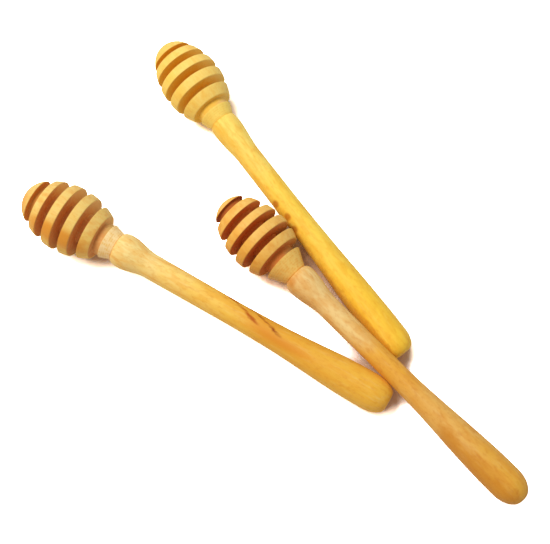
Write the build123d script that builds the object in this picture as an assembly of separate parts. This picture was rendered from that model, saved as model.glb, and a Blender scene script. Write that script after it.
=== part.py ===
from build123d import *
import os
from math import asin, degrees

# A set of three turned wooden honey dippers, in millimetres, as they lie on a table.
# The front dipper rests its head on the table and its handle in the V between the butts of the
# upper and the left one. Each dipper is a grooved head that is glued onto the tenon of its handle.
# Stations are measured along a dipper's own axis, from the tip of its head to its butt.

# Joint between head and handle
TENON_RADIUS = 3.0
TENON_LENGTH = 15.0
TENON_LEAD = 0.5
SOCKET_END_ROOM = 1.0
GLUE_GAP = 0.05

# Edges and contacts
SEAM_BEVEL = 0.35
REST_GAP = 0.05

# Upper dipper: head
UPPER_HEAD_LENGTH = 41.0
UPPER_HEAD_RADIUS = 12.45
UPPER_NOSE_RADIUS = 9.1
UPPER_WIDEST_STATION = 19.9
UPPER_LAST_FIN_RADIUS = 8.85
UPPER_CORE_RADIUS = 5.6
UPPER_LAST_FLOOR_RADIUS = 6.5
UPPER_COLLAR_RADIUS = 7.1
UPPER_NECK_RADIUS = 5.3
UPPER_GROOVE_WIDTH = 3.2

# Upper dipper: handle
UPPER_LENGTH = 158.0
UPPER_BULGE_STATION = 45.4
UPPER_BULGE_RADIUS = 5.85
UPPER_SLIM_STATION = 58.8
UPPER_SLIM_RADIUS = 4.75
UPPER_GRIP_STATION = 104.0
UPPER_GRIP_RADIUS = 5.2
UPPER_BUTT_STATION = 147.4
UPPER_BUTT_RADIUS = 6.5
UPPER_BUTT_ROUNDING = 6.7
UPPER_BUTT_FACE_RADIUS = 3.0

# Left dipper: head
LEFT_HEAD_LENGTH = 42.0
LEFT_HEAD_RADIUS = 13.3
LEFT_NOSE_RADIUS = 10.1
LEFT_WIDEST_STATION = 19.8
LEFT_LAST_FIN_RADIUS = 9.3
LEFT_CORE_RADIUS = 6.0
LEFT_LAST_FLOOR_RADIUS = 6.5
LEFT_COLLAR_RADIUS = 7.0
LEFT_NECK_RADIUS = 5.55
LEFT_GROOVE_WIDTH = 3.6

# Left dipper: handle
LEFT_LENGTH = 160.5
LEFT_BULGE_STATION = 45.6
LEFT_BULGE_RADIUS = 6.85
LEFT_SLIM_STATION = 57.2
LEFT_SLIM_RADIUS = 5.0
LEFT_GRIP_STATION = 118.0
LEFT_GRIP_RADIUS = 5.45
LEFT_BUTT_STATION = 150.0
LEFT_BUTT_RADIUS = 7.1
LEFT_BUTT_ROUNDING = 8.3
LEFT_BUTT_FACE_RADIUS = 3.0

# Front dipper: head
FRONT_HEAD_LENGTH = 40.6
FRONT_HEAD_RADIUS = 12.55
FRONT_NOSE_RADIUS = 9.4
FRONT_WIDEST_STATION = 20.4
FRONT_LAST_FIN_RADIUS = 10.2
FRONT_CORE_RADIUS = 5.6
FRONT_LAST_FLOOR_RADIUS = 6.4
FRONT_COLLAR_RADIUS = 8.3
FRONT_NECK_RADIUS = 4.8
FRONT_GROOVE_WIDTH = 3.35

# Front dipper: handle
FRONT_LENGTH = 156.7
FRONT_BULGE_STATION = 43.8
FRONT_BULGE_RADIUS = 6.2
FRONT_SLIM_STATION = 58.2
FRONT_SLIM_RADIUS = 4.36
FRONT_GRIP_STATION = 107.0
FRONT_GRIP_RADIUS = 4.67
FRONT_BUTT_STATION = 145.0
FRONT_BUTT_RADIUS = 6.55
FRONT_BUTT_ROUNDING = 8.6
FRONT_BUTT_FACE_RADIUS = 0.8

# How they lie: the front dipper's direction and drop, the turns of the other two from it, and where
# along it their butts lie
FRONT_AZIMUTH = -46.0
FRONT_DROP_ANGLE = 1.0
UPPER_TURN_ANGLE = -7.6
UPPER_CROSSING = 83.0
LEFT_TURN_ANGLE = 16.1
LEFT_CROSSING = 90.7
NESTLE_STEPS = 6
QUARTER_TURN_ANGLE = 90.0

# Each groove's start as a share of its head's length, and its width as a share of the groove width
UPPER_GROOVE_SHARES = ((0.143, 0.73), (0.291, 1.01), (0.459, 1.02), (0.634, 0.97), (0.816, 0.87))
LEFT_GROOVE_SHARES = ((0.125, 0.93), (0.284, 1.03), (0.462, 1.02), (0.638, 1.0), (0.816, 0.84))
FRONT_GROOVE_SHARES = ((0.083, 0.83), (0.242, 1.02), (0.408, 1.0), (0.578, 0.95), (0.747, 0.97))


def groove_spans(head_length, groove_width, groove_shares):
    """The start and end station of each groove."""
    return [
        (start_share * head_length, start_share * head_length + width_share * groove_width)
        for start_share, width_share in groove_shares
    ]


def quarter_ellipse(foot, crown):
    """A quarter ellipse that leaves the foot square to the axis and meets the crown along it."""
    (foot_station, foot_radius), (crown_station, crown_radius) = foot, crown
    return EllipticalCenterArc(
        (crown_station, foot_radius),
        abs(crown_station - foot_station),
        crown_radius - foot_radius,
        start_angle=QUARTER_TURN_ANGLE if foot_station < crown_station else 0,
        arc_size=QUARTER_TURN_ANGLE,
    )


def nose_arcs(nose_radius, widest_station, radius):
    """A round nose from the axis and the long arc that runs from it, tangent, to the widest station."""
    reach = widest_station - nose_radius
    side_radius = (reach**2 + radius**2 - nose_radius**2) / (radius - nose_radius) / 2
    share = nose_radius / (side_radius - nose_radius)
    meeting = (nose_radius - reach * share, (side_radius - radius) * share)
    nose = RadiusArc((0, 0), meeting, nose_radius)
    side = TangentArc((widest_station, radius), meeting, tangent=(-1, 0))
    return nose, side


def head_outline(
    length, radius, nose_radius, widest_station, last_fin_radius, collar_radius, neck_radius, last_groove
):
    """Half section of a head without its grooves: egg, shoulder behind the last fin, and collar."""
    last_start, last_end = last_groove
    nose, side = nose_arcs(nose_radius, widest_station, radius)
    back = TangentArc((widest_station, radius), (last_start, last_fin_radius), tangent=(1, 0))
    rest = Polyline(
        (last_start, last_fin_radius),
        (last_end, collar_radius),
        (length - SEAM_BEVEL, neck_radius),
        (length, neck_radius - SEAM_BEVEL),
        (length, 0),
        (0, 0),
    )
    return make_face([nose, side, back, rest])


def channel(start, end, floor_radius, radius):
    """What the parting tool takes out of the section for one groove."""
    cut = Rectangle(end - start, radius, align=(Align.MIN, Align.MIN))
    return Pos(start, floor_radius) * cut


def grooved_head(
    length,
    radius,
    nose_radius,
    widest_station,
    last_fin_radius,
    core_radius,
    last_floor_radius,
    collar_radius,
    neck_radius,
    groove_width,
    groove_shares,
):
    """A head turned about X, tip at the origin, with its grooves and a tenon socket."""
    *deep_grooves, last_groove = groove_spans(length, groove_width, groove_shares)
    section = head_outline(
        length,
        radius,
        nose_radius,
        widest_station,
        last_fin_radius,
        collar_radius,
        neck_radius,
        last_groove,
    )
    for start, end in deep_grooves:
        section -= channel(start, end, core_radius, radius)
    section -= channel(*last_groove, last_floor_radius, radius)
    depth = TENON_LENGTH + SOCKET_END_ROOM
    socket = Rectangle(depth, TENON_RADIUS + GLUE_GAP, align=(Align.MAX, Align.MIN))
    section -= Pos(length, 0) * socket
    return revolve(section, Axis.X)


def turned_handle(
    head_length,
    length,
    neck_radius,
    bulge_station,
    bulge_radius,
    slim_station,
    slim_radius,
    grip_station,
    grip_radius,
    butt_station,
    butt_radius,
    butt_rounding,
    butt_face_radius,
):
    """A handle turned about X, its shoulder against the head, with a tenon and a rounded butt."""
    tenon_end = head_length - TENON_LENGTH
    rounding_station = length - butt_rounding
    tenon = Polyline(
        (tenon_end, 0),
        (tenon_end, TENON_RADIUS - TENON_LEAD),
        (tenon_end + TENON_LEAD, TENON_RADIUS),
        (head_length, TENON_RADIUS),
        (head_length, neck_radius),
    )
    shoulder = quarter_ellipse((head_length, neck_radius), (bulge_station, bulge_radius))
    fall = Spline(
        (bulge_station, bulge_radius),
        (slim_station, slim_radius),
        tangents=((1, 0), (1, 0)),
    )
    grip = Spline(
        (slim_station, slim_radius),
        (grip_station, grip_radius),
        (butt_station, butt_radius),
        tangents=((1, 0), (1, 0)),
    )
    swell = Line((butt_station, butt_radius), (rounding_station, butt_radius))
    rounding = quarter_ellipse((length, butt_face_radius), (rounding_station, butt_radius))
    close = Polyline((length, butt_face_radius), (length, 0), (tenon_end, 0))
    section = make_face([tenon, shoulder, fall, grip, swell, rounding, close])
    return revolve(section, Axis.X)


def lying(pieces, tilt, turn):
    """Tilt a dipper's butt down, turn it on the table and set its lowest point on the table."""
    dipper = Rot(0, 0, turn) * Rot(0, tilt, 0) * Compound(pieces)
    return Pos(0, 0, -dipper.bounding_box().min.Z) * dipper


def tilt_on_table(head_radius, widest_station, butt_radius, length, butt_rounding):
    """Degrees that the axis drops towards the butt when head and butt both touch the table."""
    return degrees(asin((head_radius - butt_radius) / (length - butt_rounding - widest_station)))


def beside(dipper, turn, station, crossing, side):
    """Bring the given station of a turned dipper over the crossing, that far to the side."""
    reach = Vector(station, 0).rotate(Axis.Z, turn)
    return Pos(crossing - reach.X, side - reach.Y, 0) * dipper


def nestle(dipper, target, direction):
    """Slide a dipper along the direction until it lies the rest gap away from the target."""
    for _ in range(NESTLE_STEPS):
        step = dipper.distance_to(target) - REST_GAP
        dipper = Pos(direction * step) * dipper
    return dipper


# Pieces, each about its own axis
upper_pieces = [
    grooved_head(
        UPPER_HEAD_LENGTH,
        UPPER_HEAD_RADIUS,
        UPPER_NOSE_RADIUS,
        UPPER_WIDEST_STATION,
        UPPER_LAST_FIN_RADIUS,
        UPPER_CORE_RADIUS,
        UPPER_LAST_FLOOR_RADIUS,
        UPPER_COLLAR_RADIUS,
        UPPER_NECK_RADIUS,
        UPPER_GROOVE_WIDTH,
        UPPER_GROOVE_SHARES,
    ),
    turned_handle(
        UPPER_HEAD_LENGTH,
        UPPER_LENGTH,
        UPPER_NECK_RADIUS,
        UPPER_BULGE_STATION,
        UPPER_BULGE_RADIUS,
        UPPER_SLIM_STATION,
        UPPER_SLIM_RADIUS,
        UPPER_GRIP_STATION,
        UPPER_GRIP_RADIUS,
        UPPER_BUTT_STATION,
        UPPER_BUTT_RADIUS,
        UPPER_BUTT_ROUNDING,
        UPPER_BUTT_FACE_RADIUS,
    ),
]
left_pieces = [
    grooved_head(
        LEFT_HEAD_LENGTH,
        LEFT_HEAD_RADIUS,
        LEFT_NOSE_RADIUS,
        LEFT_WIDEST_STATION,
        LEFT_LAST_FIN_RADIUS,
        LEFT_CORE_RADIUS,
        LEFT_LAST_FLOOR_RADIUS,
        LEFT_COLLAR_RADIUS,
        LEFT_NECK_RADIUS,
        LEFT_GROOVE_WIDTH,
        LEFT_GROOVE_SHARES,
    ),
    turned_handle(
        LEFT_HEAD_LENGTH,
        LEFT_LENGTH,
        LEFT_NECK_RADIUS,
        LEFT_BULGE_STATION,
        LEFT_BULGE_RADIUS,
        LEFT_SLIM_STATION,
        LEFT_SLIM_RADIUS,
        LEFT_GRIP_STATION,
        LEFT_GRIP_RADIUS,
        LEFT_BUTT_STATION,
        LEFT_BUTT_RADIUS,
        LEFT_BUTT_ROUNDING,
        LEFT_BUTT_FACE_RADIUS,
    ),
]
front_pieces = [
    grooved_head(
        FRONT_HEAD_LENGTH,
        FRONT_HEAD_RADIUS,
        FRONT_NOSE_RADIUS,
        FRONT_WIDEST_STATION,
        FRONT_LAST_FIN_RADIUS,
        FRONT_CORE_RADIUS,
        FRONT_LAST_FLOOR_RADIUS,
        FRONT_COLLAR_RADIUS,
        FRONT_NECK_RADIUS,
        FRONT_GROOVE_WIDTH,
        FRONT_GROOVE_SHARES,
    ),
    turned_handle(
        FRONT_HEAD_LENGTH,
        FRONT_LENGTH,
        FRONT_NECK_RADIUS,
        FRONT_BULGE_STATION,
        FRONT_BULGE_RADIUS,
        FRONT_SLIM_STATION,
        FRONT_SLIM_RADIUS,
        FRONT_GRIP_STATION,
        FRONT_GRIP_RADIUS,
        FRONT_BUTT_STATION,
        FRONT_BUTT_RADIUS,
        FRONT_BUTT_ROUNDING,
        FRONT_BUTT_FACE_RADIUS,
    ),
]

# The front dipper lies along X, and the other two slide up to it from both sides
front = lying(front_pieces, FRONT_DROP_ANGLE, 0)

upper_tilt = tilt_on_table(
    UPPER_HEAD_RADIUS, UPPER_WIDEST_STATION, UPPER_BUTT_RADIUS, UPPER_LENGTH, UPPER_BUTT_ROUNDING
)
upper_side = UPPER_BUTT_RADIUS + FRONT_BUTT_RADIUS
upper = lying(upper_pieces, upper_tilt, UPPER_TURN_ANGLE)
upper = beside(upper, UPPER_TURN_ANGLE, UPPER_LENGTH - UPPER_BUTT_ROUNDING, UPPER_CROSSING, upper_side)
upper = nestle(upper, front, Vector(0, -1))

left_tilt = tilt_on_table(
    LEFT_HEAD_RADIUS, LEFT_WIDEST_STATION, LEFT_BUTT_RADIUS, LEFT_LENGTH, LEFT_BUTT_ROUNDING
)
left_side = LEFT_BUTT_RADIUS + FRONT_BUTT_RADIUS
left = lying(left_pieces, left_tilt, LEFT_TURN_ANGLE)
left = beside(left, LEFT_TURN_ANGLE, LEFT_LENGTH - LEFT_BUTT_ROUNDING, LEFT_CROSSING, -left_side)
left = nestle(left, front, Vector(0, 1))

# The set turns to its own azimuth, with the origin under the middle of its bounding box
turned_set = Rot(0, 0, FRONT_AZIMUTH) * Compound([upper, left, front])
box = turned_set.bounding_box()
turned_set = Pos(-box.center().X, -box.center().Y, -box.min.Z) * turned_set

NODE_NAMES = (
    "upper_dipper_head",
    "upper_dipper_handle",
    "left_dipper_head",
    "left_dipper_handle",
    "front_dipper_head",
    "front_dipper_handle",
)

os.makedirs("parts", exist_ok=True)
for name, solid in zip(NODE_NAMES, turned_set.solids()):
    export_step(solid, f"parts/{name}.step")
    size = solid.bounding_box().size
    print(f"{name}: {size.X:.1f} x {size.Y:.1f} x {size.Z:.1f} mm")
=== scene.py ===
# %% [markdown]
# # Three turned wooden honey dippers
# A honey dipper is lathe work: a stick of pale wood with an egg-shaped head, and grooves sunk into
# the head to hold the honey. Here three of them lie crossed on a table. The measured solids say
# where everything is; this script turns a finer copy of each piece and gives it its wood.

# %% Load the measured solids
import math

import bmesh
import bpy
import numpy as np
from mathutils import Matrix, Vector


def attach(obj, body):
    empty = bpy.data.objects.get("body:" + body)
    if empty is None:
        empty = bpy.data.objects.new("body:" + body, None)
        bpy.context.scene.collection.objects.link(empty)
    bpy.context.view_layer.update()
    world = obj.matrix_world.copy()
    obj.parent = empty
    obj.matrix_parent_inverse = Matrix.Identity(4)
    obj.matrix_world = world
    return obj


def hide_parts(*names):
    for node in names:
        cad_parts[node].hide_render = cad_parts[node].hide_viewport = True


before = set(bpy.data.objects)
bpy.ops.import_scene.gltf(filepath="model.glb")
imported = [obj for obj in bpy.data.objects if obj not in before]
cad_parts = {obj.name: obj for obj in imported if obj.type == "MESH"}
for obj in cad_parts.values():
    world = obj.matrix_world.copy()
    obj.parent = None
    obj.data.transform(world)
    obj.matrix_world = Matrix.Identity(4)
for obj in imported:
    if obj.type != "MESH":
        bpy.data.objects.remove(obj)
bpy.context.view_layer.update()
MM = 0.001
print("nodes:", sorted(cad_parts))

# %% [markdown]
# ## Camera
# The photograph looks down on the table from 72 degrees up. A long lens from further away would
# give nearly the same picture, but the heads, which stand higher than the handles, would come out
# a little small. So the focal length follows from how the three dippers shrink with distance.

# %% Camera
IMAGE_WIDTH = 550
FOCAL_PIXELS = 995
SENSOR_WIDTH = 36
CAMERA_ELEVATION = math.radians(72)
CAMERA_DISTANCE = 0.3925
LOOK_AT = Vector((0.00378, -0.00191, 0))
NEAREST_VISIBLE = 0.01


def new_object(name, data):
    """An object with the given data, put in the scene."""
    made = bpy.data.objects.new(name, data)
    bpy.context.scene.collection.objects.link(made)
    return made


camera_data = bpy.data.cameras.new("table_camera")
camera_data.sensor_width = SENSOR_WIDTH
camera_data.lens = FOCAL_PIXELS / IMAGE_WIDTH * SENSOR_WIDTH
camera_data.clip_start = NEAREST_VISIBLE
camera = new_object("table_camera", camera_data)
away = Vector((0, -math.cos(CAMERA_ELEVATION), math.sin(CAMERA_ELEVATION)))
camera.location = LOOK_AT + CAMERA_DISTANCE * away
camera.rotation_euler = (math.pi / 2 - CAMERA_ELEVATION, 0, 0)
bpy.context.scene.camera = camera
print(f"camera: {camera_data.lens:.1f} mm lens at {[round(x, 4) for x in camera.location]}")

# %% [markdown]
# ## Writing nodes as sums
# A material or a shape in Blender is a graph of nodes. Placed one by one they are hard to read, so
# two small classes help. A Wire is a socket that understands + - * / and **. A Board is the tree
# that the nodes go on, with one method that makes any node from its settings and its inputs.

# %% Wire: a socket that can be added and multiplied
NOISE_MIDDLE = 0.5


class Wire:
    """An output socket. Sums with it add Math nodes to its tree."""

    def __init__(self, board, socket):
        self.board = board
        self.socket = socket

    def __add__(self, other):
        return self.board.math("ADD", self, other)

    def __sub__(self, other):
        return self.board.math("SUBTRACT", self, other)

    def __rsub__(self, other):
        return self.board.math("SUBTRACT", other, self)

    def __mul__(self, other):
        return self.board.math("MULTIPLY", self, other)

    def __truediv__(self, other):
        return self.board.math("DIVIDE", self, other)

    def __pow__(self, other):
        return self.board.math("POWER", self, other)

    __radd__ = __add__
    __rmul__ = __mul__

    def swing(self, reach):
        """A noise as a value that swings to both sides of 0, by about a fifth of the reach."""
        return (self - NOISE_MIDDLE) * reach


print("wires add Math nodes; a noise swings about", NOISE_MIDDLE)

# %% Board: a tree that nodes are put on
FULL_TURN = 2 * math.pi


class Board:
    """A node tree, and a method for each kind of node that is used often."""

    def __init__(self, tree):
        self.tree = tree

    def node(self, kind, settings=None, inputs=None, output=0):
        """Add a node with its settings first and then its inputs, and return one output of it."""
        node = self.tree.nodes.new(kind)
        for name, value in (settings or {}).items():
            setattr(node, name, value)
        for key, value in (inputs or {}).items():
            if isinstance(value, Wire):
                self.tree.links.new(value.socket, node.inputs[key])
            else:
                node.inputs[key].default_value = value
        return Wire(self, node.outputs[output]) if node.outputs else node

    def math(self, operation, *operands):
        return self.node("ShaderNodeMath", {"operation": operation}, dict(enumerate(operands)))

    def split(self, vector):
        """The X, Y and Z of a vector as three Wires."""
        separated = self.node("ShaderNodeSeparateXYZ", inputs={0: vector})
        return [Wire(self, socket) for socket in separated.socket.node.outputs]

    def join(self, x, y, z):
        return self.node("ShaderNodeCombineXYZ", inputs={0: x, 1: y, 2: z})

    def vectors(self, operation, first, second):
        return self.node("ShaderNodeVectorMath", {"operation": operation}, {0: first, 1: second})

    def noise(self, vector, scale, detail=2.0, roughness=0.5, distortion=0.0):
        """Soft random values, about 0.3 to 0.7, that change over 1 / scale of the vector's unit."""
        inputs = {
            "Vector": vector,
            "Scale": scale,
            "Detail": detail,
            "Roughness": roughness,
            "Distortion": distortion,
        }
        return self.node("ShaderNodeTexNoise", {"noise_dimensions": "3D"}, inputs)

    def step(self, value, low, high):
        """0 where value is under low, 1 where it is over high, and smooth between."""
        inputs = {"Value": value, "From Min": low, "From Max": high}
        return self.node("ShaderNodeMapRange", {"interpolation_type": "SMOOTHSTEP"}, inputs)

    def wave(self, value, spacing):
        """A wave between 0 and 1 with one crest in every spacing of the value."""
        return self.math("SINE", value * (FULL_TURN / spacing)) * 0.5 + 0.5

    def blend(self, factor, first, second):
        """Mix two colours. A colour is a tuple or a Wire."""
        settings = {"data_type": "RGBA", "blend_type": "MIX", "clamp_factor": True}
        return self.node("ShaderNodeMix", settings, {0: factor, 6: first, 7: second}, output=2)


def empty_material(name):
    """A new material without nodes, and the Board for the nodes that it will get."""
    material = bpy.data.materials.new(name)
    material.use_nodes = True
    material.node_tree.nodes.clear()
    return material, Board(material.node_tree)


print("a board has", sum(callable(method) for method in vars(Board).values()), "methods")

# %% [markdown]
# ## Table
# The picture is shot against white. The table is white paint in plain light, but the camera sees it
# brighter, overexposed as in the photograph, so the paper-white ground comes from the table's
# colour and not from more light on the wood. Only in a crevice that is shut towards the light does
# it stay the brown of its shade, as in the gap beside the front dipper's neck.

# %% Table
TABLE_SIZE = 3.0
TABLE_WHITE = (0.82, 0.82, 0.82, 1)
TABLE_MIRRORED_WHITE = (1, 1, 1, 1)
TABLE_SEEN_WHITE = (4, 4, 4, 1)
TABLE_SEEN_SHADE = (0.72, 0.47, 0.32, 1)
CREVICE_REACH = 0.02
CREVICE_SKY = (0.46, 0.58)
CREVICE_SAMPLES = 32
CREVICE_OPENS_TO = (-0.64, 0.30, 0.71)

table_mesh = bpy.data.meshes.new("table_top")
half = TABLE_SIZE / 2
corners = [(-half, -half, 0), (half, -half, 0), (half, half, 0), (-half, half, 0)]
table_mesh.from_pydata(corners, [], [(0, 1, 2, 3)])
table = new_object("table_top", table_mesh)


def ray_kinds(board):
    """1 for a ray that the camera sends, and 1 for one that a shiny or clear surface sends."""
    camera_ray, glossy_ray, transmitted_ray = (
        board.node("ShaderNodeLightPath", output=name)
        for name in ("Is Camera Ray", "Is Glossy Ray", "Is Transmission Ray")
    )
    return camera_ray, board.math("MAXIMUM", glossy_ray, transmitted_ray)


white_paint, board = empty_material("white_table_paint")
camera_ray, mirrored = ray_kinds(board)
white = board.blend(mirrored, TABLE_WHITE, TABLE_MIRRORED_WHITE)
open_sky = board.node(
    "ShaderNodeAmbientOcclusion",
    {"samples": CREVICE_SAMPLES},
    {"Distance": CREVICE_REACH, "Normal": board.join(*CREVICE_OPENS_TO)},
    output="AO",
)
seen = board.blend(board.step(open_sky, *CREVICE_SKY), TABLE_SEEN_SHADE, TABLE_SEEN_WHITE)
white = board.blend(camera_ray, white, seen)
matt = board.node("ShaderNodeBsdfDiffuse", inputs={"Color": white})
board.node("ShaderNodeOutputMaterial", inputs={"Surface": matt})
table_mesh.materials.append(white_paint)
print("table:", TABLE_SIZE, "m square")

# %% [markdown]
# ## Light
# One soft lamp stands at the upper left: in the photograph the gap beside the front neck is in
# shade, and the left butt has its shadow on the right. The world fills in from all sides. It could
# be turned up until it looks white, but that would bleach the wood, so it stays dim for the wood
# and is white only to the camera and in reflections.

# %% World and lamp
WORLD_STRENGTH = 0.41
LAMP_POWER = 4.75
LAMP_SIZE = 0.35
LAMP_DISTANCE = 0.8
LAMP_AZIMUTH = math.radians(155)
LAMP_ELEVATION = math.radians(64)

world = bpy.data.worlds.new("plain_studio")
world.use_nodes = True
background = world.node_tree.nodes["Background"]
background.inputs["Color"].default_value = (1, 1, 1, 1)
board = Board(world.node_tree)
seen = board.math("MAXIMUM", *ray_kinds(board))
strength = seen * (1 - WORLD_STRENGTH) + WORLD_STRENGTH
world.node_tree.links.new(strength.socket, background.inputs["Strength"])
bpy.context.scene.world = world

lamp_data = bpy.data.lights.new("softbox", "AREA")
lamp_data.shape = "DISK"
lamp_data.size = LAMP_SIZE
lamp_data.energy = LAMP_POWER
lamp = new_object("softbox", lamp_data)
towards_lamp = Vector(
    (
        math.cos(LAMP_ELEVATION) * math.cos(LAMP_AZIMUTH),
        math.cos(LAMP_ELEVATION) * math.sin(LAMP_AZIMUTH),
        math.sin(LAMP_ELEVATION),
    )
)
lamp.location = LAMP_DISTANCE * towards_lamp
lamp.rotation_euler = towards_lamp.to_track_quat("Z", "Y").to_euler()
bpy.context.scene.view_settings.view_transform = "Standard"
print("lamp at", [round(x, 3) for x in lamp.location])

# %% [markdown]
# ## Finding each dipper's axis
# Everything on a lathe is round about one line. The middle of a turned piece's surface lies on that
# line, so the middles of the head and of the handle give the axis, with no need to be told it. The
# tip of the head is where stations are counted from, as a turner marks out a blank with a pencil.

# %% Axis and tip
DIPPERS = ("upper", "left", "front")


def node_of(dipper, part):
    return f"{dipper}_dipper_{part}"


def vertices_of(node):
    """The places of a node's vertices, one row for each."""
    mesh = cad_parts[node].data
    flat = np.empty(3 * len(mesh.vertices), np.float32)
    mesh.vertices.foreach_get("co", flat)
    return flat.reshape(-1, 3).astype(float)


def surface_middle(node):
    """The middle of a node's surface, each triangle counting by its area."""
    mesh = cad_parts[node].data
    mesh.calc_loop_triangles()
    corner_index = np.empty(3 * len(mesh.loop_triangles), np.int32)
    mesh.loop_triangles.foreach_get("vertices", corner_index)
    a, b, c = vertices_of(node)[corner_index.reshape(-1, 3)].transpose(1, 0, 2)
    area = np.linalg.norm(np.cross(b - a, c - a), axis=1)
    return ((a + b + c) * area[:, None]).sum(0) / (3 * area.sum())


def place_of(dipper):
    """Matrix from the table to a dipper's own frame: X from the tip along its axis, Z upwards."""
    head_middle = surface_middle(node_of(dipper, "head"))
    along = Vector(surface_middle(node_of(dipper, "handle")) - head_middle).normalized()
    across = Vector((0, 0, 1)).cross(along).normalized()
    turn = Matrix((along, across, along.cross(across)))
    nearest = ((vertices_of(node_of(dipper, "head")) - head_middle) @ np.array(along)).min()
    tip = Vector(head_middle) + along * nearest
    return turn.to_4x4() @ Matrix.Translation(-tip)


places = {dipper: place_of(dipper) for dipper in DIPPERS}
for dipper, place in places.items():
    print(dipper, "tip at", [round(x / MM, 2) for x in place.inverted().translation], "mm")

# %% [markdown]
# ## Taking off the outline
# A turner works from a card templet with half the outline of the piece. Here the templet is read
# from the solid: a half plane through the axis cuts it in one line, which gives the order of the
# points, and then every vertex of the solid, which lies exactly on the turned surface, sharpens it.

# %% Cut a node with a half plane
SAME_POINT = 0.001 * MM
CUT_TURN = math.radians(17)


def cut_line(node, place):
    """Stations and radii where a half plane through the axis cuts a node, from end to end."""
    solid = bmesh.new()
    solid.from_mesh(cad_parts[node].data)
    solid.transform(place)
    bmesh.ops.remove_doubles(solid, verts=solid.verts, dist=SAME_POINT)
    side = Vector((0, math.cos(CUT_TURN), math.sin(CUT_TURN)))
    cut = bmesh.ops.bisect_plane(
        solid,
        geom=solid.verts[:] + solid.edges[:] + solid.faces[:],
        dist=SAME_POINT,
        plane_co=(0, 0, 0),
        plane_no=side.cross((1, 0, 0)),
    )["geom_cut"]
    follow = {}
    for edge in cut:
        if isinstance(edge, bmesh.types.BMEdge) and sum(v.co.dot(side) for v in edge.verts) > 0:
            for vertex in edge.verts:
                follow.setdefault(vertex, []).append(edge.other_vert(vertex))
    ends = [vertex for vertex, beside in follow.items() if len(beside) == 1]
    walk = [min(ends, key=lambda vertex: vertex.co.x)]
    onward = follow[walk[0]]
    while onward:
        walk.append(onward[0])
        onward = [vertex for vertex in follow[walk[-1]] if vertex not in walk]
    line = np.array([(vertex.co.x, max(vertex.co.dot(side), 0)) for vertex in walk])
    solid.free()
    return line if line[0, 0] < line[-1, 0] else line[::-1]


cut_lines = {}
for dipper in DIPPERS:
    for part in ("head", "handle"):
        node = node_of(dipper, part)
        cut_lines[node] = cut_line(node, places[dipper])
        print(f"{node}: {len(cut_lines[node])} points cut")

# %% Sharpen the cut with every vertex
OUTLINE_BIN = 0.12 * MM
POINT_DECIMALS = 8


def sharpened(line, node, place):
    """The cut line again, through the means of the node's own vertices in short stretches of it."""
    turned = vertices_of(node) @ np.array(place.to_3x3()).T + np.array(place.translation)
    points = np.stack([turned[:, 0], np.hypot(turned[:, 1], turned[:, 2])], 1)
    points = np.unique(np.round(points, POINT_DECIMALS), axis=0)
    start, step = line[:-1], np.diff(line, axis=0)
    length = np.maximum(np.linalg.norm(step, axis=1), SAME_POINT)
    before = np.concatenate([[0], np.cumsum(length)])
    arc = np.empty(len(points))
    for i, point in enumerate(points):
        share = np.clip(((point - start) * step).sum(1) / length**2, 0, 1)
        gap = np.linalg.norm(point - start - share[:, None] * step, axis=1)
        arc[i] = before[gap.argmin()] + share[gap.argmin()] * length[gap.argmin()]
    bins = (arc / OUTLINE_BIN).astype(int)
    means = [points[bins == b].mean(0) for b in np.unique(bins)]
    inner = [mean for mean in means if mean[1] > OUTLINE_BIN]
    return np.array([(line[0, 0], 0), *inner, (line[-1, 0], 0)])


outlines = {}
for dipper in DIPPERS:
    for part in ("head", "handle"):
        node = node_of(dipper, part)
        outlines[node] = sharpened(cut_lines[node], node, places[dipper])
        print(f"{node}: {len(outlines[node])} points kept")

# %% [markdown]
# ## Sanding the outline
# A solid's edges are sharp and its curves are short straight runs. The outline is drawn again as a
# smooth curve that keeps its corners, and then sanded: each point moves to the mean of its
# neighbours, which rounds a corner over as much as fine paper does. Points that do nothing for the
# shape are dropped, so that the mesh stays light where the outline is straight.

# %% Draw an outline as a smooth curve
FINE_SPACING = 0.05 * MM
CORNER_TURN = math.radians(14)


def smooth_curve(points):
    """A cubic curve through the points at a fine spacing, straight up to each corner."""
    step = np.diff(points, axis=0)
    length = np.linalg.norm(step, axis=1)
    heading = step / length[:, None]
    turn = np.arccos(np.clip((heading[:-1] * heading[1:]).sum(1), -1, 1))
    mean = (heading[:-1] * length[1:, None] + heading[1:] * length[:-1, None]) / (
        length[:-1] + length[1:]
    )[:, None]
    corner = (turn > CORNER_TURN)[:, None]
    leave = np.vstack([heading[:1], np.where(corner, heading[1:], mean)])
    arrive = np.vstack([np.where(corner, heading[:-1], mean), heading[-1:]])
    curve = [points[:1]]
    for i, run in enumerate(length):
        u = np.linspace(0, 1, int(np.ceil(run / FINE_SPACING)) + 1)[1:, None]
        curve.append(
            (2 * u**3 - 3 * u**2 + 1) * points[i]
            + (u**3 - 2 * u**2 + u) * run * leave[i]
            + (3 * u**2 - 2 * u**3) * points[i + 1]
            + (u**3 - u**2) * run * arrive[i]
        )
    curve = np.vstack(curve)
    arc = np.concatenate([[0], np.cumsum(np.linalg.norm(np.diff(curve, axis=0), axis=1))])
    even = np.linspace(0, arc[-1], int(arc[-1] / FINE_SPACING))
    return np.stack([np.interp(even, arc, curve[:, k]) for k in (0, 1)], 1)


curves = {node: smooth_curve(points) for node, points in outlines.items()}
print("fine points:", {node: len(curve) for node, curve in curves.items()})

# %% Sand and thin an outline
SANDING = 0.14 * MM
SANDING_REACH = 3
SHAPE_TOLERANCE = 0.005 * MM
LONGEST_STEP = 0.9 * MM


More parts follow.
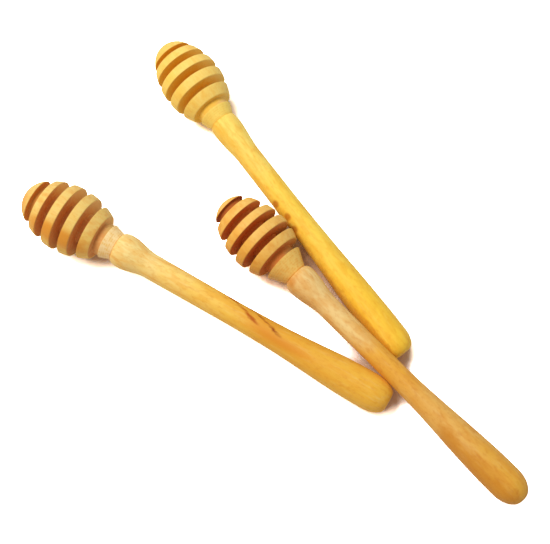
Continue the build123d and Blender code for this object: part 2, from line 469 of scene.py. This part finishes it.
def sanded(curve):
    """Each point moved to a weighted mean of its neighbours, with the ends held on the axis."""
    reach = int(SANDING_REACH * SANDING / FINE_SPACING)
    weight = np.exp(-0.5 * (np.arange(-reach, reach + 1) * FINE_SPACING / SANDING) ** 2)
    across_axis = (1, -1)
    before = curve[reach:0:-1] * across_axis
    after = curve[-2 : -reach - 2 : -1] * across_axis
    padded = np.vstack([before, curve, after])
    station, radius = (np.convolve(padded[:, k], weight / weight.sum(), "valid") for k in (0, 1))
    return np.stack([station, np.maximum(radius, 0)], 1)


def thinned(curve):
    """The fewest points that keep the curve to the shape tolerance and the longest step."""
    keep = np.zeros(len(curve), bool)
    keep[[0, -1]] = True
    spans = [(0, len(curve) - 1)]
    while spans:
        first, last = spans.pop()
        if last - first < 2:
            continue
        chord = curve[last] - curve[first]
        length = max(np.linalg.norm(chord), SAME_POINT)
        off = curve[first + 1 : last] - curve[first]
        gap = np.abs(off[:, 0] * chord[1] - off[:, 1] * chord[0]) / length
        middle = first + 1 + gap.argmax()
        if gap.max() < SHAPE_TOLERANCE:
            if (last - first) * FINE_SPACING < LONGEST_STEP:
                continue
            middle = (first + last) // 2
        keep[middle] = True
        spans += [(first, middle), (middle, last)]
    return curve[keep]


sanded_outlines = {}
for node, curve in curves.items():
    sanded_outlines[node] = thinned(sanded(curve))
    print(f"{node}: {len(sanded_outlines[node])} rings")

# %% [markdown]
# ## What each ring of the outline is
# Two things change along the outline. Some of it shows and some is hidden in the glued joint, where
# nothing may be added, and some of it is down in a groove, where the wood is darker. Both are
# stored on the outline's points, so that the lathe and the wood can read them.

# %% Skin and groove depth
SKIN_FADE = 0.8 * MM


def upper_hull(points):
    """The points that a thread laid over the outline would touch."""
    hull = []
    for point in points[np.argsort(points[:, 0], kind="stable")]:
        while len(hull) > 1 and np.cross(hull[-1] - hull[-2], point - hull[-2]) >= 0:
            hull.pop()
        hull.append(point)
    return np.array(hull)


def skin_share(outline, seam, is_head):
    """1 on wood that shows and 0 in the joint, fading over a short way beside the seam."""
    inside = seam - outline[:, 0] if is_head else outline[:, 0] - seam
    share = np.clip(inside / SKIN_FADE, 0, 1)
    if is_head:
        share[outline[:, 0].argmax() :] = 0
    return share


def groove_depth(outline, skin):
    """How deep each point of a head lies in a groove, and the two stations of the last groove."""
    hull = upper_hull(outline[skin > 0])
    depth = (np.interp(outline[:, 0], hull[:, 0], hull[:, 1]) - outline[:, 1]) * (skin > 0)
    radius = outline[:, 1]
    collar_rim = np.flatnonzero(skin > 0).max()
    while radius[collar_rim - 1] > radius[collar_rim]:
        collar_rim -= 1
    floor_end = collar_rim
    while radius[floor_end - 1] < radius[floor_end]:
        floor_end -= 1
    fin_end = np.flatnonzero(radius[:floor_end] > radius[collar_rim]).max()
    depth[floor_end:] = np.clip(depth[floor_end:] - depth[collar_rim], 0, None)
    depth[collar_rim:] = 0
    return depth, (outline[fin_end, 0], outline[collar_rim, 0])


rings, last_grooves = {}, {}
for dipper in DIPPERS:
    head, handle = (sanded_outlines[node_of(dipper, part)] for part in ("head", "handle"))
    seam = head[:, 0].max()
    head_skin, handle_skin = skin_share(head, seam, True), skin_share(handle, seam, False)
    depth, last_grooves[dipper] = groove_depth(head, head_skin)
    rings[node_of(dipper, "head")] = head, head_skin, depth
    rings[node_of(dipper, "handle")] = handle, handle_skin, np.zeros(len(handle))
    stations = ", ".join(f"{station / MM:.1f}" for station in (*last_grooves[dipper], seam))
    print(f"{dipper}: grooves {depth.max() / MM:.1f} mm deep")
    print(f"{dipper}: last groove and seam at {stations} mm")

# %% [markdown]
# ## The lathe
# Turning is a rule: every point of the outline goes once round the axis. Geometry Nodes do that
# here. A grid has one column for each step round and one row for each ring, and each of its points
# is moved to its ring's station and radius. A trace of soft noise keeps the wood from being as true
# as metal: it changes the radius a little, and makes the fins lean. Both fade out at the axis. The
# grid's last column lands on its first, and merging the two closes the skin.

# %% Start the lathe's tree
LATHE_INPUTS = {
    "Outline": "NodeSocketGeometry",
    "Steps round": "NodeSocketInt",
    "Unevenness": "NodeSocketFloat",
    "Lean of fins": "NodeSocketFloat",
    "Unevenness scale": "NodeSocketFloat",
    "Blank": "NodeSocketFloat",
    "Wood": "NodeSocketMaterial",
}

lathe = bpy.data.node_groups.new("lathe", "GeometryNodeTree")
lathe_sockets = {
    name: lathe.interface.new_socket(name, in_out="INPUT", socket_type=kind).identifier
    for name, kind in LATHE_INPUTS.items()
}
lathe.interface.new_socket("Turned piece", in_out="OUTPUT", socket_type="NodeSocketGeometry")
board = Board(lathe)
given = board.node("NodeGroupInput").socket.node.outputs
outline, steps_round, unevenness, lean, scale, blank, wood = (
    Wire(board, given[name]) for name in LATHE_INPUTS
)
print("lathe inputs:", lathe_sockets)

# %% Read the outline at each point of the grid
def on_ring(data_type, value, ring):
    """A value of the outline at the given ring."""
    settings = {"data_type": data_type, "domain": "POINT"}
    inputs = {"Geometry": outline, "Value": value, "Index": ring}
    return board.node("GeometryNodeSampleIndex", settings, inputs)


def stored(name):
    """A value that was stored on the outline's points."""
    return board.node("GeometryNodeInputNamedAttribute", {"data_type": "FLOAT"}, {"Name": name})


ring_count = board.node("GeometryNodeAttributeDomainSize", {"component": "MESH"}, {0: outline})
index = board.node("GeometryNodeInputIndex")
column = board.math("FLOOR", (index + 0.5) / ring_count)
ring = index - column * ring_count
place_on_outline = on_ring("FLOAT_VECTOR", board.node("GeometryNodeInputPosition"), ring)
station, radius, _ = board.split(place_on_outline)
skin = on_ring("FLOAT", stored("skin"), ring)
groove = on_ring("FLOAT", stored("groove"), ring)
print("lathe:", len(lathe.nodes), "nodes so far")

# %% Turn the grid's points round the axis
CLOSING_GAP = 0.0008 * MM
LEAN_CIRCLE = 4

angle = column * FULL_TURN / steps_round
across, up = board.math("COSINE", angle), board.math("SINE", angle)
true_place = board.join(station + blank, radius * across, radius * up)
lean_place = board.join(
    station + blank + blank, across * LEAN_CIRCLE * MM, up * LEAN_CIRCLE * MM
)
off_axis = board.step(radius, 0, MM)
uneven_radius = radius + board.noise(true_place, scale).swing(unevenness) * skin * off_axis
uneven_station = station + board.noise(lean_place, scale).swing(lean) * skin * off_axis
turned_place = board.join(uneven_station, uneven_radius * across, uneven_radius * up)
grid_size = {"Vertices X": steps_round + 1, "Vertices Y": ring_count}
grid = board.node("GeometryNodeMeshGrid", inputs=grid_size)
turned = board.node("GeometryNodeSetPosition", inputs={"Geometry": grid, "Position": turned_place})
named = board.node(
    "GeometryNodeStoreNamedAttribute",
    {"data_type": "FLOAT", "domain": "POINT"},
    {"Geometry": turned, "Name": "groove", "Value": groove},
)
closed = board.node("GeometryNodeMergeByDistance", inputs={0: named, "Distance": CLOSING_GAP})
smooth = board.node("GeometryNodeSetShadeSmooth", inputs={0: closed})
real = board.node("GeometryNodeRealizeInstances", inputs={0: smooth})
finished = board.node("GeometryNodeSetMaterial", inputs={"Geometry": real, "Material": wood})
board.node("NodeGroupOutput", inputs={0: finished})
print("lathe:", len(lathe.nodes), "nodes")

# %% [markdown]
# ## From the lathe to the table
# A piece goes on the lathe as its outline and a blank of wood, is turned, and is then laid where
# the solid lies. The blanks could be one and the same, but then all three dippers would be uneven
# and grained in the same places, so each blank is cut at another place along the stick. The lathe
# takes that place in centimetres, and the grain, which changes sooner, in millimetres.

# %% Turn a piece on the lathe
BLANKS = {"upper": 31.0, "left": 57.0, "front": 83.0}
CM_PER_METRE = 100


def outline_mesh(name, node):
    """The outline as a wire of points, with what each ring is stored on them."""
    points, skin_value, groove_value = rings[node]
    mesh = bpy.data.meshes.new(name)
    edges = [(i, i + 1) for i in range(len(points) - 1)]
    mesh.from_pydata([(x, r, 0) for x, r in points], edges, [])
    for attribute, value in (("skin", skin_value), ("groove", groove_value / MM)):
        mesh.attributes.new(attribute, "FLOAT", "POINT").data.foreach_set("value", value)
    return mesh


def turned_mesh(piece, sizes):
    """The plain mesh that the lathe makes of a piece's outline."""
    turning = piece.modifiers.new("turning", "NODES")
    turning.node_group = lathe
    for socket, value in sizes.items():
        turning[lathe_sockets[socket]] = value
    bpy.context.view_layer.update()
    turned_piece = piece.evaluated_get(bpy.context.evaluated_depsgraph_get())
    mesh = bpy.data.meshes.new_from_object(turned_piece)
    piece.modifiers.remove(turning)
    return mesh


def turn_piece(dipper, part, sizes, wood_material):
    """Turn one node's outline, put it in its place and let it stand for the node."""
    name, node = f"{dipper}_honey_{part}", node_of(dipper, part)
    piece = new_object(name, outline_mesh(name, node))
    blank = BLANKS[dipper] / CM_PER_METRE
    mesh = turned_mesh(piece, {**sizes, "Blank": blank, "Wood": wood_material})
    piece.data = mesh
    mesh.name = name
    mesh.transform(places[dipper].inverted())
    skin_side = bmesh.new()
    skin_side.from_mesh(mesh)
    if skin_side.calc_volume(signed=True) < 0:
        bmesh.ops.reverse_faces(skin_side, faces=skin_side.faces[:])
        skin_side.to_mesh(mesh)
    open_edges = sum(not edge.is_manifold for edge in skin_side.edges)
    volume = skin_side.calc_volume(signed=True) / MM**3
    skin_side.free()
    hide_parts(node)
    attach(piece, f"{dipper}_dipper")
    print(f"{name}: {len(mesh.polygons)} faces, {open_edges} open edges, {volume:.0f} mm3")


print("ready to turn", len(rings), "pieces")

# %% [markdown]
# ## Wood
# Beech or maple is pale, with fibres that run along the blank, year rings that are never quite
# centred on the lathe's axis, and broad streaks where the wood took more or less oil. A picture of
# a board could be wrapped round each piece, but it would smear over the fins. So the finish is
# worked out from soft noise in the dipper's own millimetres, X along its axis. The grain then runs
# through head and handle and goes with the piece in any pose.

# %% Colours and places for the wood
def paint(code):
    """A colour of six hexadecimal digits as linear values, by the curve that screens use."""
    channels = [int(code[i : i + 2], 16) / 255 for i in (0, 2, 4)]
    return (*[c / 12.92 if c <= 0.04045 else ((c + 0.055) / 1.055) ** 2.4 for c in channels], 1)


def own_millimetres(board, dipper):
    """Object coordinates turned and moved so that X runs in mm from the tip along the axis."""
    place = places[dipper]
    inputs = {
        "Vector": board.node("ShaderNodeTexCoord", output="Object"),
        "Location": place.translation / MM,
        "Rotation": place.to_euler(),
        "Scale": (1 / MM, 1 / MM, 1 / MM),
    }
    return board.node("ShaderNodeMapping", {"vector_type": "POINT"}, inputs)


print("straw yellow:", [round(channel, 2) for channel in paint("FFDE6C")])

# %% Wood as a material
# Lengths in the wood are in millimetres.
HEARTS = {"upper": (6.0, 9.0), "left": (-7.0, 8.0), "front": (5.0, -9.0)}
YEAR_RING_SHARPNESS = 3
WAY_FADE = 14
WAY_WANDER = 30
# Where the painted shade of the lower-left side fades in.
SHADED_SIDE_EDGE = (-0.3, 1.2)
SCRATCH_WANDER = 5
SCRATCH_BREAKS = (0.36, 0.5)
SCRATCH_FAINTEST = 0.4
TOP_FADE = 2


class Wood:
    """What every wood finish starts from: the board, own millimetres and the usual grain."""

    def __init__(self, dipper, part):
        self.dipper = dipper
        self.material, self.board = empty_material(f"{dipper}_{part}_wood")
        place = own_millimetres(self.board, dipper)
        self.x, self.y, self.z = self.board.split(place)
        self.in_stick = self.board.vectors("ADD", place, (BLANKS[dipper], 0, 0))
        self.broad = self.grain(along=0.035, across=0.22)
        self.streak = self.grain(along=0.11, across=0.8, detail=3)
        self.fibre = self.grain(along=0.22, across=3.4, detail=3, roughness=0.6)
        self.cloud = self.grain(along=0.11, across=0.16, detail=3)
        self.blotch = self.grain(along=0.13, across=0.36, detail=4, distortion=0.4)
        self.mottle = self.grain(along=0.4, across=0.8, detail=4, roughness=0.6)

    def grain(self, along, across, **look):
        """Noise with about so many changes per mm along the stick and across it."""
        stretched = self.board.vectors("MULTIPLY", self.in_stick, (along, across, across))
        return self.board.noise(stretched, 1, **look)

    def tinted(self, colour, tint, grain, span, strength):
        """The colour with a share of the tint, from none where a grain is low to all where high."""
        return self.board.blend(self.board.step(grain, *span) * strength, colour, tint)

    def year_rings(self, lean, spacing, waviness):
        """Dark lines where year rings meet the skin. Their heart is off the axis and leans."""
        heart_y, heart_z = HEARTS[self.dipper]
        far_y, far_z = self.y - heart_y - self.x * lean, self.z - heart_z
        distance = self.board.math("SQRT", far_y * far_y + far_z * far_z)
        lines = self.board.wave(distance + self.broad.swing(waviness), spacing)
        return lines**YEAR_RING_SHARPNESS

    def along(self, first, following):
        """Colours that follow each other along the axis, each fading in about its station in mm."""
        wandering = self.x + self.cloud.swing(WAY_WANDER)
        colour = first
        for station, other in following:
            reached = self.board.step(wandering, station - WAY_FADE, station + WAY_FADE)
            colour = self.board.blend(reached, colour, other)
        return colour

    def shaded_side(self, sharpness, ragged):
        """Painted shade: 1 on the side that lies to the lower left in the photograph, 0 on the
        other. A negative sharpness turns it round, to the lit side.
        """
        return self.board.step(self.broad.swing(ragged) - self.y * sharpness, *SHADED_SIDE_EDGE)

    def spot(self, centre, sizes, softness=0.5):
        """1 inside a soft-edged egg of the given half sizes in mm, 0 outside it."""
        axes = zip((self.x, self.y, self.z), centre, sizes)
        x, y, z = ((axis - middle) / size for axis, middle, size in axes)
        far = self.board.math("SQRT", x * x + y * y + z * z) + self.mottle.swing(softness)
        return 1 - self.board.step(far, 1 - softness, 1 + softness)

    def scratch(self, station, slope, bend, width):
        """A thin line over the skin that crosses the middle of the top at the station."""
        curve = self.x + self.y * slope + self.y * self.y * bend - station
        off = self.board.math("ABSOLUTE", curve + self.mottle.swing(SCRATCH_WANDER))
        unbroken = self.board.step(self.streak, *SCRATCH_BREAKS)
        broken = unbroken * (1 - SCRATCH_FAINTEST) + SCRATCH_FAINTEST
        return (1 - self.board.step(off, 0, width)) * broken * self.board.step(self.z, 0, TOP_FADE)

    def finish(self, colour, roughness, height, relief, gloss):
        """Put the colour, the gloss and the small relief together in one shader."""
        bump = self.board.node("ShaderNodeBump", inputs={"Distance": relief, "Height": height})
        inputs = {
            "Base Color": colour,
            "Roughness": roughness,
            "Specular IOR Level": gloss,
            "Normal": bump,
        }
        shader = self.board.node("ShaderNodeBsdfPrincipled", inputs=inputs)
        self.board.node("ShaderNodeOutputMaterial", inputs={"Surface": shader})
        return self.material


print("wood for", len(DIPPERS), "dippers, with the heart off their axis by", HEARTS, "mm")

# %% [markdown]
# ## The heads
# A head's fins are planed smooth by the tool and stay pale, with painted shade that makes them
# warmer, and amber in patches, on their lower-left side. The grooves are scorched a little by the
# narrow parting tool and hold more oil; their walls and floors are a deep orange brown that is
# partly this wood and partly painted shade, deepest on their lower side, with a colour of its own
# in the first groove. The last groove is open towards the collar, so light gets in and its floor
# shows the colour of the wood, giving way to painted shade towards its lower side. The collar keeps
# the fine lines that the tool leaves, and has painted shade on its lower-left side. Fins, grooves
# and collar could each have a material of their own, but they are one piece of wood. So one
# material tells them apart, by the depth stored on each ring and by the station.

# %% Colours of fins, collar and grooves
FIRST_GROOVE_END = 9.5
FIRST_GROOVE_FADE = 1
SHADED_TO_LIT = (0.5, 8.5)
SHADED_TO_LIT_RAGGED = 6
LAST_FLOOR = (0.2, 0.85)
LEAST_LIGHT = 0.2
FIN_YEAR_LINES = 0.25
COLLAR_SHADED_SIDE = 0.25
COLLAR_LINES = 0.35


def fin_colour(wood, year_lines, pale, warm, amber, shaded_patches):
    """Pale wood with painted shade that makes it warmer on its lower-left side, amber in its grain,
    and amber patches of painted shade on that side.
    """
    # Painted shade: the warm colour on the lower-left side.
    colour = wood.board.blend(wood.shaded_side(sharpness=0.09, ragged=2.0), pale, warm)
    colour = wood.board.blend(year_lines * FIN_YEAR_LINES, colour, warm)
    colour = wood.tinted(colour, amber, wood.blotch, span=(0.46, 0.72), strength=0.4)
    colour = wood.tinted(colour, amber, wood.mottle, span=(0.48, 0.7), strength=0.25)
    colour = wood.tinted(colour, amber, wood.fibre, span=(0.5, 0.74), strength=0.3)
    # Painted shade: amber patches on the lower-left side of the head.
    for centre, sizes, strength in shaded_patches:
        colour = wood.board.blend(wood.spot(centre, sizes) * strength, colour, amber)
    return colour


def collar_colour(wood, lines, collar, pale, warm, amber):
    """The plain wood of the collar, with painted shade in amber on its lower-left side, and amber
    in the tool's lines.
    """
    shaded_side = wood.shaded_side(sharpness=0.25, ragged=2.0)
    shade = shaded_side * COLLAR_SHADED_SIDE + lines * COLLAR_LINES
    colour = wood.board.blend(shade, collar, amber)
    colour = wood.tinted(colour, warm, wood.mottle, span=(0.44, 0.64), strength=0.4)
    return wood.tinted(colour, pale, wood.fibre, span=(0.5, 0.7), strength=0.3)


def groove_colour(wood, first, low, high, last, last_groove):
    """Painted shade: brown from the shaded lower side to the lit higher side, with own colours for
    the first groove and for the floor of the last.
    """
    board = wood.board
    height = wood.y + wood.mottle.swing(SHADED_TO_LIT_RAGGED)
    # Painted shade: the low colour on the lower-left side, the high colour on the lit side.
    colour = board.blend(board.step(height, *SHADED_TO_LIT), low, high)
    colour = wood.tinted(colour, high, wood.mottle, span=(0.46, 0.7), strength=0.3)
    # Painted shade: the first groove, in the shade of the nose, has its own colour.
    past_first = board.step(wood.x, FIRST_GROOVE_END - FIRST_GROOVE_FADE, FIRST_GROOVE_END)
    colour = board.blend(past_first, first, colour)
    start, end = last_groove
    on_floor = board.step(wood.x, *(start + share * (end - start) for share in LAST_FLOOR))
    # Painted light: the last groove's floor colour is full on the lit side and gives way mostly to
    # the groove's brown on the lower side.
    lit_side = wood.shaded_side(sharpness=-0.25, ragged=1.2) * (1 - LEAST_LIGHT) + LEAST_LIGHT
    return board.blend(on_floor * lit_side, colour, last)


print("first groove ends", FIRST_GROOVE_END, "mm from the tip")

# %% Head wood
TURNING_LINE_SPACING = 0.8
TURNING_LINE_BREAKS = (0.4, 0.6)
COLLAR_FADE = 0.3
RIM_HIGHLIGHT_EDGE, RIM_HIGHLIGHT_PALER = (0.02, 0.14), 0.5
GROOVE_EDGE, GROOVE_EDGE_RAGGED = (0.14, 0.65), 0.3
OILED_ROUGHNESS, ROUGHNESS_SWING = 0.55, 0.25
GROOVE_ROUGHER = 0.3
YEAR_LINE_HEIGHT, TURNING_LINE_HEIGHT = 0.3, 0.5
HEAD_RELIEF = 0.05 * MM
HEAD_GLOSS = 0.15


def head_wood(dipper, fins, grooves, collar, shaded_patches):
    """Wood of a head. fins: pale, warm, amber; grooves: first, low, high, last; shaded_patches:
    amber. The warm colour, the grooves and the patches are partly painted shade.
    """
    wood = Wood(dipper, "head")
    board = wood.board
    pale, warm, amber = map(paint, fins)
    last_groove = [station / MM for station in last_grooves[dipper]]
    groove_attribute = {"attribute_name": "groove", "attribute_type": "GEOMETRY"}
    depth = board.node("ShaderNodeAttribute", groove_attribute, output="Fac")
    year_lines = wood.year_rings(lean=0.03, spacing=2.1, waviness=5.0)
    on_collar = board.step(wood.x, last_groove[1] - COLLAR_FADE, last_groove[1] + COLLAR_FADE)
    turning_lines = board.wave(wood.x, TURNING_LINE_SPACING)
    lines = on_collar * turning_lines * board.step(wood.mottle, *TURNING_LINE_BREAKS)

    colour = fin_colour(wood, year_lines, pale, warm, amber, shaded_patches)
    plain = collar_colour(wood, lines, paint(collar), pale, warm, amber)
    colour = board.blend(on_collar, colour, plain)
    # Painted highlight: a thin pale line along the fins' rims, where the grooves begin.
    colour = wood.tinted(colour, pale, depth, span=RIM_HIGHLIGHT_EDGE, strength=RIM_HIGHLIGHT_PALER)
    inside = groove_colour(wood, *map(paint, grooves), last_groove=last_groove)
    in_groove = board.step(depth + wood.fibre.swing(GROOVE_EDGE_RAGGED), *GROOVE_EDGE)
    colour = board.blend(in_groove, colour, inside)
    roughness = OILED_ROUGHNESS + wood.fibre.swing(ROUGHNESS_SWING) + in_groove * GROOVE_ROUGHER
    height = wood.fibre + year_lines * YEAR_LINE_HEIGHT + lines * TURNING_LINE_HEIGHT
    return wood.finish(colour, roughness, height, HEAD_RELIEF, HEAD_GLOSS)


print("turning lines every", TURNING_LINE_SPACING, "mm on the collars")

# %% Turn the three heads
HEAD_SIZES = {
    "Steps round": 144,
    "Unevenness": 0.09 * MM,
    "Lean of fins": 0.22 * MM,
    "Unevenness scale": 110.0,
}
# fins: pale, warm for painted shade, amber; grooves: first, low, high, last, partly painted shade;
# shaded_patches: amber painted shade on the lower-left side.
HEAD_COLOURS = {
    "upper": {
        "fins": ("FBD672", "FBCE5E", "F0AE38"),
        "grooves": ("ECB438", "F0BC44", "FAD474", "E8BE74"),
        "collar": "FFDC6C",
        "shaded_patches": [((3, -5, 6), (7, 5, 8), 0.3)],
    },
    "left": {
        "fins": ("EECC76", "EFBE58", "DE8A26"),
        "grooves": ("DA9848", "DA9450", "F0C47C", "CCA45E"),
        "collar": "FFE2A4",
        "shaded_patches": [((1, -4, 2), (4, 6, 9), 0.6), ((22, -9.6, 8), (15, 3.2, 6), 0.85)],
    },
    "front": {
        "fins": ("F4C468", "F0AE48", "DE8C2C"),
        "grooves": ("B4602A", "D27A34", "E09C54", "B0844A"),
        "collar": "F6CA6C",
        "shaded_patches": [((37, -5, 3), (5, 3, 5), 0.6)],
    },
}

for dipper in DIPPERS:
    turn_piece(dipper, "head", HEAD_SIZES, head_wood(dipper, **HEAD_COLOURS[dipper]))

# %% [markdown]
# ## Marks on the handles
# No two handles are alike. The marks that tell them apart in the photograph are small: painted
# shade where one dipper lies beside another, with dark spots of painted shadow and reflection from
# the front head's fins, an orange band with two knot marks, a deeper side, a stain.
# They could be painted on, but a picture would blur close up, so each is a soft spot or a thin line
# at its place in millimetres. Each function gives a mark's shape, its strength and its colour.

# %% Marks of the upper handle
UPPER_FIN_SHADE_SPOTS = ((82.3, -4.2, 2.7), (89.4, -3.7, 3.3), (94.9, -4.3, 2.4))
FIN_SHADE_SIZES = (1.5, 1.1, 2.2)
FRONT_SHADE_FROM = (97, 104)
FRONT_SHADE_BESIDE = (4.2, 6.0)
FRONT_SHADE_RAGGED = 2
FRONT_SHADE_BEND, FRONT_SHADE_DRIFT = 128, 0.05


def upper_fin_shade_spots(wood):
    """Painted shadow and reflection of the front head's fins: dark spots where they come nearest to
    this handle.
    """
    spots = [wood.spot(centre, FIN_SHADE_SIZES) for centre in UPPER_FIN_SHADE_SPOTS]
    return spots[0] + spots[1] + spots[2], 0.8, "BE6A10"


def upper_shaded_side(wood):
    """Painted shade of the front handle along the side that it lies against."""
    board = wood.board
    contact = board.math("MAXIMUM", (wood.x - FRONT_SHADE_BEND) * FRONT_SHADE_DRIFT, 0.0)
    beside = board.step(contact - wood.y + wood.mottle.swing(FRONT_SHADE_RAGGED), *FRONT_SHADE_BESIDE)
    return beside * board.step(wood.x, *FRONT_SHADE_FROM), 0.5, "B8661A"


print("upper handle:", len(UPPER_FIN_SHADE_SPOTS), "contact spots")

# %% Marks of the left handle
NEAR_KNOT_END = (-0.9, 0.2)
FAR_KNOT_END = (-0.7, 0.3)


def left_orange_band(wood):
    band = wood.spot(centre=(114, -1.8, 4.8), sizes=(12, 1.7, 3), softness=0.8)
    return band, 0.7, "DC8420"


def left_knot_glow(wood):
    glow = wood.spot(centre=(106, 1.2, 5), sizes=(6, 2.4, 3), softness=0.9)
    return glow, 0.5, "E08C28"


def left_knot_near(wood):
    knot = wood.scratch(station=102.9, slope=1.8, bend=0.3, width=3.2)
    return knot * wood.board.step(wood.y, *NEAR_KNOT_END), 1.0, "BA5E12"


def left_knot_far(wood):
    knot = wood.scratch(station=112.7, slope=2.0, bend=0.25, width=2.4)
    return knot * wood.board.step(wood.y, *FAR_KNOT_END), 1.0, "9C480C"


print("left handle: knots end at", NEAR_KNOT_END[0], "and", FAR_KNOT_END[0], "mm beside the top")

# %% Marks of the front handle
AMBER_SIDE, AMBER_RAGGED = (0.2, 4.5), 8
AMBER_FROM, AMBER_SLANT = (110, 114), 1.5


def front_amber_side(wood):
    """The deeper side of the butt. It starts in a slanting edge, where a year ring ends."""
    side = wood.board.step(wood.blotch.swing(AMBER_RAGGED) - wood.y, *AMBER_SIDE)
    past_edge = wood.board.step(wood.x + wood.y * AMBER_SLANT, *AMBER_FROM)
    return side * past_edge, 0.55, "C87A18"


def front_neck_stain(wood):
    stain = wood.spot(centre=(42.2, -3.8, 3.6), sizes=(1.6, 1.8, 3))
    return stain, 0.6, "D07E24"


HANDLE_MARKS = {
    "upper": (upper_fin_shade_spots, upper_shaded_side),
    "left": (left_orange_band, left_knot_glow, left_knot_near, left_knot_far),
    "front": (front_amber_side, front_neck_stain),
}
print("marks:", {dipper: len(marks) for dipper, marks in HANDLE_MARKS.items()})

# %% [markdown]
# ## The handles
# The handles are oiled like the heads, but have no grooves that break up the light, and are a trace
# shinier. One flat colour could do for each, but the real ones change along their length: one is
# bright yellow throughout, one turns orange past the middle, and one is tan at the neck and golden
# towards its butt. So each is a row of colours with the station where each begins.

# %% Handle wood
HANDLE_RELIEF = 0.04 * MM
HANDLE_GLOSS = 0.18
HANDLE_SHADED_SIDE = 0.38
HANDLE_YEAR_LINES = 0.2
FIBRE_HEIGHT, MOTTLE_HEIGHT = 0.6, 0.4


def handle_wood(dipper, ways, tones):
    """Wood of a handle. ways: colours along it, each with its station; tones: pale, deep, dark.
    Deep is also the painted shade of the lower-left side.
    """
    wood = Wood(dipper, "handle")
    board = wood.board
    pale, deep, dark = map(paint, tones)
    first, *following = ways
    year_lines = wood.year_rings(lean=0.035, spacing=2.6, waviness=6.0)
    colour = wood.along(paint(first), [(station, paint(code)) for station, code in following])
    # Painted shade: the deep tone on the lower-left side.
    shaded_side = wood.shaded_side(sharpness=0.26, ragged=2.4)
    colour = board.blend(shaded_side * HANDLE_SHADED_SIDE, colour, deep)
    colour = wood.tinted(colour, deep, wood.blotch, span=(0.44, 0.66), strength=0.45)
    colour = wood.tinted(colour, pale, wood.streak, span=(0.5, 0.74), strength=0.18)
    colour = board.blend(year_lines * HANDLE_YEAR_LINES, colour, deep)
    colour = wood.tinted(colour, dark, wood.mottle, span=(0.48, 0.7), strength=0.3)
    colour = wood.tinted(colour, dark, wood.fibre, span=(0.52, 0.74), strength=0.2)
    for mark in HANDLE_MARKS[dipper]:
        mask, strength, code = mark(wood)
        colour = board.blend(mask * strength, colour, paint(code))
    roughness = OILED_ROUGHNESS + wood.streak.swing(ROUGHNESS_SWING)
    height = wood.fibre * FIBRE_HEIGHT + wood.mottle * MOTTLE_HEIGHT
    return wood.finish(colour, roughness, height, HANDLE_RELIEF, HANDLE_GLOSS)


print("gloss of heads and handles:", HEAD_GLOSS, HANDLE_GLOSS)

# %% Turn the three handles
HANDLE_SIZES = {
    "Steps round": 112,
    "Unevenness": 0.12 * MM,
    "Lean of fins": 0.0,
    "Unevenness scale": 70.0,
}
HANDLE_COLOURS = {
    "upper": {
        "ways": ("FFDE6C", (72, "FFD650"), (120, "FFCD3E")),
        "tones": ("FFE278", "F0AE2A", "E6981C"),
    },
    "left": {
        "ways": ("F8DE90", (64, "FCD46A"), (80, "F6C450"), (98, "EAAE3C"), (134, "F2BA42")),
        "tones": ("FBE096", "ECA430", "D2821E"),
    },
    "front": {
        "ways": ("F2CE86", (76, "EEAE3C"), (100, "EAB45A"), (132, "E8AC3E")),
        "tones": ("F4CE88", "DE9432", "C26E1A"),
    },
}

for dipper in DIPPERS:
    turn_piece(dipper, "handle", HANDLE_SIZES, handle_wood(dipper, **HANDLE_COLOURS[dipper]))

# %% [markdown]
# ## Size
# The finished pieces are meant to fill the same box as the measured solids.
